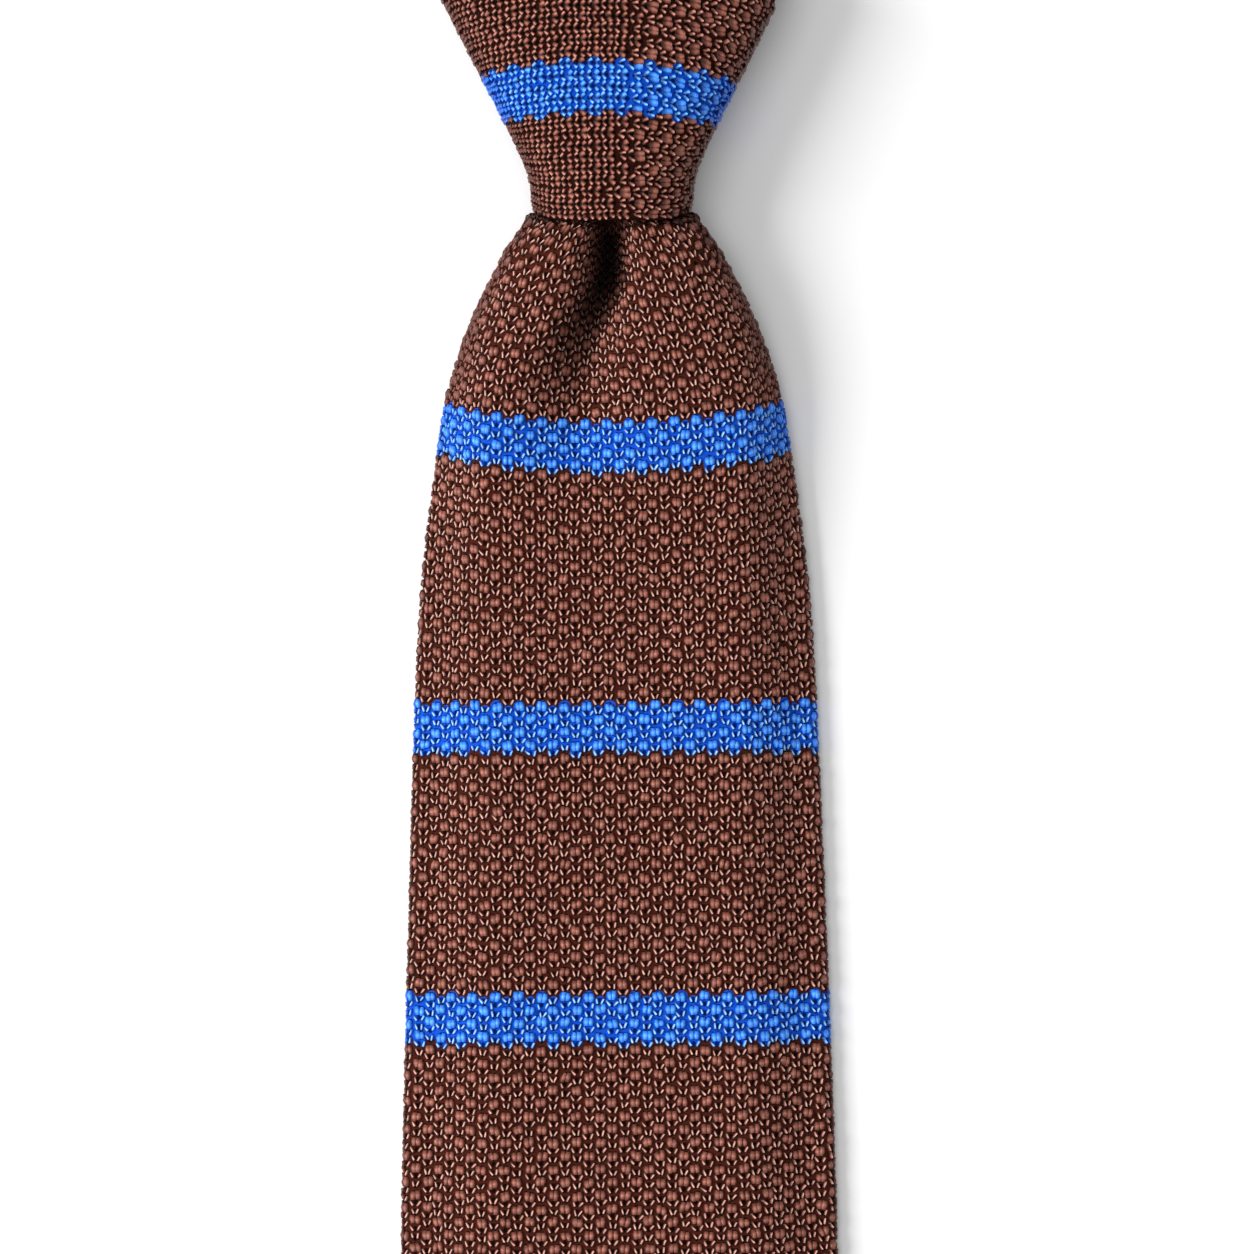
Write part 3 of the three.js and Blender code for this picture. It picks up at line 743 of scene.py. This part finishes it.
def placed(section, down, follow=0.0):
    # A section across the tie, at a distance below the knot, raised at its sides as the rim is
    side = np.minimum(1, np.abs(section[:, 0]) / (knot["bottomWidth"] / 2))
    raised = follow * knot["rimRise"] * side ** knot["rimSharpness"]
    return np.stack([section[:, 0], knotFoot - down + raised, section[:, 1]], axis=1)


def bladeDown(course, share):
    # The courses hang lower in the middle near the knot
    fade = 1 - smoothstep(course, *blade["sagFade"])
    return course + fade * (blade["sag"] * (1 - (2 * share - 1) ** 2) - blade["sagOffset"])


def buildBlade():
    columns = 2 * blade["wales"]
    nearEnd = blade["length"] - cloth / 2
    downs = np.concatenate([
        [-blade["tuckDepth"], -6 * mm, -2 * mm],
        np.arange(-0.75 * mm, 6 * mm, 0.3 * mm),
        np.arange(6 * mm, 60 * mm, 0.6 * mm),
        np.arange(60 * mm, 160 * mm, 1.2 * mm),
        np.arange(160 * mm, nearEnd - 2 * mm, 5 * mm),
        [nearEnd],
    ])
    places = [(down, 1.0) for down in downs]
    for degrees in (30, 60, 85):
        turned = math.radians(degrees)
        down = nearEnd + cloth / 2 * math.sin(turned) - knit["relief"] * (degrees > 60)
        places.append((down, math.cos(turned) ** 0.7))
    rings = []
    for down, squeeze in places:
        follow = 1 - float(smoothstep(down, 0, knot["rimFollow"]))
        rings.append(placed(bladeSection(down, squeeze, columns, knit["relief"]), down, follow))
    rings = np.array(rings)
    allDowns = np.array([down for down, _ in places])
    share = np.arange(2 * columns + 1) / columns
    wales = np.tile(share * blade["wales"], (len(rings), 1))
    folded = np.where(share > 1, 2 - share, share)
    courses = np.tile(allDowns[:, None], (1, 2 * columns + 1))
    for _ in range(3):
        courses = courses + allDowns[:, None] - bladeDown(courses, folded[None])
    units = (courses - blade["stripeStart"]) / knit["unit"]
    ground = clothBody("front_blade_cloth", rings, wales, units, [knitBack, knitGround], columns,
                       paintedShade=paintedShadeAt(rings))
    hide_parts("front_blade")
    extra = 4                      # columns of the under face, where the stitches go on round the edges
    face = rings[:, np.arange(-extra, columns + extra + 1) % (2 * columns)]

    def pointAt(wale, course):
        share = wale / blade["wales"]
        down = bladeDown(course, share)
        row = np.interp(down, allDowns, np.arange(len(allDowns)))
        return bilinear(face, row, share * columns + extra)

    def blueAt(wale, course):
        return inStripe((course - blade["stripeStart"]) / knit["unit"])

    lengths = {
        "throat": (-5 * mm, 60 * mm, fineGrains),
        "upper": (60 * mm, 152 * mm, fineGrains),
        "middle": (152 * mm, 310 * mm, plainGrains),
        "end": (310 * mm, nearEnd - 3.5 * mm, plainGrains),
    }
    for name, (low, high, grains) in lengths.items():
        wale, course = tuckPlaces(-1, blade["wales"] + 1, blade["stripeStart"], low, high)
        strandPiece(f"front_blade_{name}_strands", pointAt, wale, course, blueAt,
                                  paintedShadeAt=paintedShadeAt, grains=grains)
        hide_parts("front_blade")


def tuckPlaces(firstWale, endWale, start, low, high):
    # Wales and courses of the tucks between two courses, every second wale half a unit lower
    spacing = knit["unit"]
    found = []
    for number in range(firstWale, endWale):
        first = start + (number % 2) * spacing / 2
        counts = np.arange(math.ceil((low - first) / spacing), math.ceil((high - first) / spacing))
        found += [(number + 0.5, first + n * spacing) for n in counts]
    found = np.array(found)
    return found[:, 0], found[:, 1]


print("knitting the wide blade")
buildBlade()

# The knot's wrap, a band of the same cloth turned on its side


def knotHalfWidth(y):
    def hinge(height):
        return (height - knot["collar"] + np.hypot(height - knot["collar"], knot["collarBend"])) / 2
    share = (hinge(y) - hinge(0)) / (hinge(knot["height"]) - hinge(0))
    return lerp(knot["bottomWidth"], knot["topWidth"], share) / 2


def knotOutline(y, inset, count):
    # Closed outline from the middle of the back round by the left side, evenly spaced
    share = y / knot["height"]
    halfWidth = float(knotHalfWidth(y))
    bulge = knot["bulge"] * math.sin(math.pi * min(max(share, 0), 1))
    halfDepth = (lerp(knot["bottomDepth"], knot["topDepth"], share) + bulge) / 2
    angle = np.linspace(-math.pi / 2, -math.pi * 5 / 2, 721)
    roundness = np.where(np.sin(angle) >= 0, knot["frontRoundness"], knot["backRoundness"])
    bentX = np.sign(np.cos(angle)) * np.abs(np.cos(angle)) ** (2 / roundness)
    bentZ = np.sign(np.sin(angle)) * np.abs(np.sin(angle)) ** (2 / roundness)
    outline = np.stack([(halfWidth - inset) * bentX, halfDepth + (halfDepth - inset) * bentZ], axis=1)
    return evenly(outline, count)


def raisedRim(outline, y):
    lift = knot["rimRise"] * (1 - y / knot["height"]) ** 2
    side = np.minimum(1, np.abs(outline[:, 0]) / knotHalfWidth(y))
    raised = y + lift * side ** knot["rimSharpness"]
    return np.stack([outline[:, 0], knotFoot + raised, outline[:, 1]], axis=1)


def rowShare(points):
    # Height of a row at some points, as a share of its height in the middle
    side = np.clip(points[..., 0] / knotHalfWidth(points[..., 1] - knotFoot), -1, 1)
    return 1 - knot["rowArch"] * side ** 2 - knot["rowTilt"] * side


def buildKnot():
    radius = cloth / 2
    inner = knit["relief"]
    quarter = math.pi / 2 * radius
    straight = knot["height"] - 2 * radius
    around = 160
    insideRows = 12

    def outside(place):
        # Height and inset at a place along the outside, from the lower lip's lowest point
        if place < quarter:        # the lip's lowest part is smooth
            turned = place / radius
            reach = radius - inner * float(smoothstep(turned, 0.3, 1.2))
            return radius - reach * math.cos(turned), radius - reach * math.sin(turned)
        if place > quarter + straight:
            turned = (place - quarter - straight) / radius
            return (knot["height"] - radius + (radius - inner) * math.sin(turned),
                    radius - (radius - inner) * math.cos(turned))
        return radius + place - quarter, inner

    total = 2 * quarter + straight
    places = np.concatenate([np.linspace(0, quarter, 6)[:-1], np.linspace(quarter, quarter + straight, 56),
                             np.linspace(quarter + straight, total, 6)[1:]])
    face = np.array([raisedRim(knotOutline(y, inset, around), y) for y, inset in map(outside, places)])
    inside = [(y, cloth - 0.05 * mm) for y in np.linspace(knot["height"] - radius, radius, insideRows)]
    rings = np.concatenate([face, [raisedRim(knotOutline(y, inset, around), y) for y, inset in inside]])
    rings = rings[:, :-1]
    counts = places / knot["waleEvery"]
    wales = np.concatenate([counts, np.linspace(counts[-1], counts[-1] + 22, insideRows)])
    perimeter = np.linalg.norm(np.diff(face, axis=1), axis=2).sum(axis=1)
    arc = np.linspace(-0.5, 0.5, around + 1)
    lengths = np.concatenate([perimeter, np.full(insideRows, perimeter.mean())])
    units = 4 - lengths[:, None] * arc[None] / knot["unit"]
    lowered = rowShare(np.concatenate([rings, rings[:, :1]], axis=1))
    wales = wales[:, None] / lowered + 0.5
    # The knot's ground is painted darker still, as shade, so the gaps between its strands look black
    striped = knittedCloth("knitted_knot_ground", {"deep": "#0c0301", "body": "#2a0f09"},
                           {"deep": "#011656", "body": "#0d47b8"}, raised=False, alongWales=True)
    ground = clothBody("knot_cloth", rings, wales, units, [striped, striped], around, closed=True)
    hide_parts("knot_band")

    def onFace(place, course):
        share = course / np.interp(place, places, perimeter)
        return bilinear(face, np.interp(place, places, np.arange(len(places))), (0.5 - share) % 1 * around)

    def pointAt(wale, course):
        # Course is measured from the middle of the front, to the left
        place = wale * knot["waleEvery"]
        return onFace(place * rowShare(onFace(place, course)), course)

    wale, course = [], []
    for number in range(1, int(total / knot["waleEvery"])):
        half = np.interp(number * knot["waleEvery"], places, perimeter) / 2 - 0.5 * knot["unit"]
        positions = (np.arange(-20, 20) + 0.5 * (number % 2)) * knot["unit"]
        positions = positions[np.abs(positions) < half]
        wale += [number] * len(positions)
        course += positions.tolist()

    def blueRows(wale, course):
        wave = np.cos(math.tau * (course / knot["unit"] - knot["scallopPlace"]))
        return np.abs(wale - knot["stripeMiddle"]) < knot["stripeReach"] + knot["scallop"] * wave

    wale, course = np.array(wale), np.array(course)
    centre = pointAt(wale, course)
    halfWidths = knotHalfWidth(centre[:, 1] - knotFoot)
    loose = centre[:, 0] > draws.normal(knot["loose"], knot["looseSpread"], len(wale)) * halfWidths
    loose = loose | (centre[:, 2] < knot["looseHeight"])
    for name, chosen, pattern in (("tight", ~loose, braid), ("loose", loose, loosened)):
        strandPiece(f"knot_{name}_strands", pointAt, wale[chosen], course[chosen], blueRows,
                                  outward=-1, pattern=pattern)
        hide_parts("knot_band")


print("wrapping the knot")
buildKnot()

# The narrow blade


def buildTail():
    columns = 2 * tail["wales"]
    nearEnd = tail["length"] - cloth / 2
    top = tailHigh[1] - knotFoot
    downs = np.concatenate([np.linspace(-top, 0, 5)[:-1], np.linspace(0, tail["openLength"], 40)[:-1],
                            np.linspace(tail["openLength"], nearEnd, 60)])
    places = [(down, 1.0) for down in downs]
    places += [(nearEnd + cloth / 2 * math.sin(t), math.cos(t) ** 0.7) for t in np.radians([30, 60, 85])]
    throatHalf = knot["bottomWidth"] / 2 - cloth - 4 * clearance
    rings = []
    for down, squeeze in places:
        half = lerp(throatHalf, tail["width"] / 2, float(smoothstep(down, 0, tail["openLength"])))
        middle = lerp(tailFloor, 0, float(smoothstep(down, 0, tail["dropLength"]))) + cloth / 2
        curve = np.stack([np.linspace(-half, half, 9), np.full(9, middle)], axis=1)
        rings.append(placed(tubeSection(curve, cloth * squeeze, columns), down))
    rings = np.array(rings)
    wales = np.arange(2 * columns + 1)[None] / columns * tail["wales"]
    reached = knotFoot - rings[:, :1, 1] - blade["stripeStart"]
    units = reached / knit["unit"] * np.ones((1, 2 * columns + 1))
    piece = clothBody("tail_blade_cloth", rings, np.tile(wales, (len(rings), 1)), units, [knitBack])
    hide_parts("tail_blade")


print("knitting the narrow blade")
buildTail()

# The cloth turned over the top of the knot

fold = {"rise": 5 * mm, "wales": 22, "columns": 44}
strandBand = {"width": 12 * mm, "thickness": 4.5 * mm, "depth": 12 * mm}


def buildFold():
    floorHeight = tailFloor + strandBand["thickness"] + clearance
    bottom = blade["tuckDepth"] + clearance
    rows = [(y, 1.0) for y in np.linspace(bottom, knot["height"], 24)]
    turns = np.radians([15, 30, 45, 58, 70, 80, 85])
    rows += [(knot["height"] + fold["rise"] * math.sin(t), math.cos(t)) for t in turns]
    rings = []
    for y, squeeze in rows:
        inside = knotOutline(min(y, knot["height"]), cloth + 2 * clearance, 300)[:-1]
        filled = np.stack([inside[:, 0], np.maximum(inside[:, 1], floorHeight)], axis=1)
        middle = (floorHeight + filled[:, 1].max()) / 2
        narrowed = lerp(knot["bottomWidth"] / knot["topWidth"], 1, squeeze ** 0.5)
        outline = evenly(np.concatenate([filled, filled[:1]]), 2 * fold["columns"])[:-1]
        rings.append(np.stack([outline[:, 0] * narrowed, np.full(len(outline), knotFoot + y),
                               middle + (outline[:, 1] - middle) * squeeze], axis=1))
    rings = np.array(rings)
    wales = np.arange(2 * fold["columns"] + 1)[None] / fold["columns"] * fold["wales"]
    reached = np.array([y for y, _ in rows])[:, None] / knit["unit"] + 4
    units = reached * np.ones((1, 2 * fold["columns"] + 1))
    piece = clothBody("knot_fold_cloth", rings, np.tile(wales, (len(rings), 1)), units, [knitBack])
    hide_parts("knot_fold")


print("turning the cloth over the knot")
buildFold()

# The neck loop, a flat band at the knot which turns on edge to go round the neck

loop = {
    "bandWidth": 26 * mm,
    "width": 118 * mm,
    "length": 141 * mm,
    "lean": math.radians(80),
    "wales": 17,
    "stations": 200,
}
loopRoute = (                      # side as a share of half the width, along as a share of the length
    (0.27, 0.055), (0.56, 0.2), (0.84, 0.39), (1.0, 0.62), (0.88, 0.83), (0.5, 0.965), (0.0, 1.0),
)


def smoothRoute(points, steps):
    # A smooth curve through the points, with its ends carried straight on
    points = np.array(points)
    points = np.concatenate([[2 * points[0] - points[1]], points, [2 * points[-1] - points[-2]]])
    found = []
    for before, start, end, after in zip(points, points[1:], points[2:], points[3:]):
        t = np.linspace(0, 1, steps, endpoint=False)[:, None]
        leave, arrive = (end - before) / 2, (after - start) / 2
        found.append((2 * start - 2 * end + leave + arrive) * t ** 3
                     + (-3 * start + 3 * end - 2 * leave - arrive) * t ** 2 + leave * t + start)
    return np.concatenate([*found, points[-2:-1]])


def buildLoop():
    side = strandBand["width"] / 2 + clearance
    right = [(side, knot["height"] - strandBand["depth"]), (side, knot["height"] - strandBand["depth"] / 4)]
    right += [(s * loop["width"] / 2, knot["height"] + a * loop["length"]) for s, a in loopRoute]
    route = smoothRoute(right + [(-x, y) for x, y in right[-2::-1]], 60)
    total = alongCurve(route, [0])[2]
    shares = np.linspace(0, 1, loop["stations"] + 1)
    centres, tangents, _ = alongCurve(route, shares * total)
    columns = 2 * loop["wales"]
    rings = []
    for share, centre, tangent in zip(shares, centres, tangents):
        fromKnot = 2 * min(share, 1 - share)
        spread = float(smoothstep(fromKnot, 0.06, 0.3))
        lean = loop["lean"] * float(smoothstep(fromKnot, 0.12, 0.5))
        width = lerp(strandBand["width"], loop["bandWidth"], spread)
        thickness = lerp(strandBand["thickness"], cloth, spread)
        height = (width / 2 - thickness / 2) * math.sin(lean) + thickness / 2
        height += tailFloor * (1 - float(smoothstep(fromKnot, 0.1, 0.26)))
        forward = np.array([tangent[0], tangent[1], 0])
        outward = np.array([tangent[1], -tangent[0], 0])
        face = np.array([0, 0, math.cos(lean)]) + outward * math.sin(lean)
        across = np.cross(face, forward)
        curve = np.stack([np.linspace(-width / 2, width / 2, 9), np.zeros(9)], axis=1)
        section = tubeSection(curve, thickness, columns)
        middle = np.array([centre[0], knotFoot + centre[1], height])
        rings.append(middle + section[:, :1] * across + section[:, 1:] * face)
    rings = np.array(rings)
    wales = np.tile(np.arange(2 * columns + 1)[None] / columns * loop["wales"], (len(rings), 1))
    units = (shares * total / knit["unit"])[:, None] * np.ones((1, 2 * columns + 1)) + 2
    piece = clothBody("neck_loop_cloth", rings, wales, units, [knitBack])
    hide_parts("neck_loop")
    print(f"  neck loop is {total / mm:.0f} mm long")


print("closing the neck loop")
buildLoop()
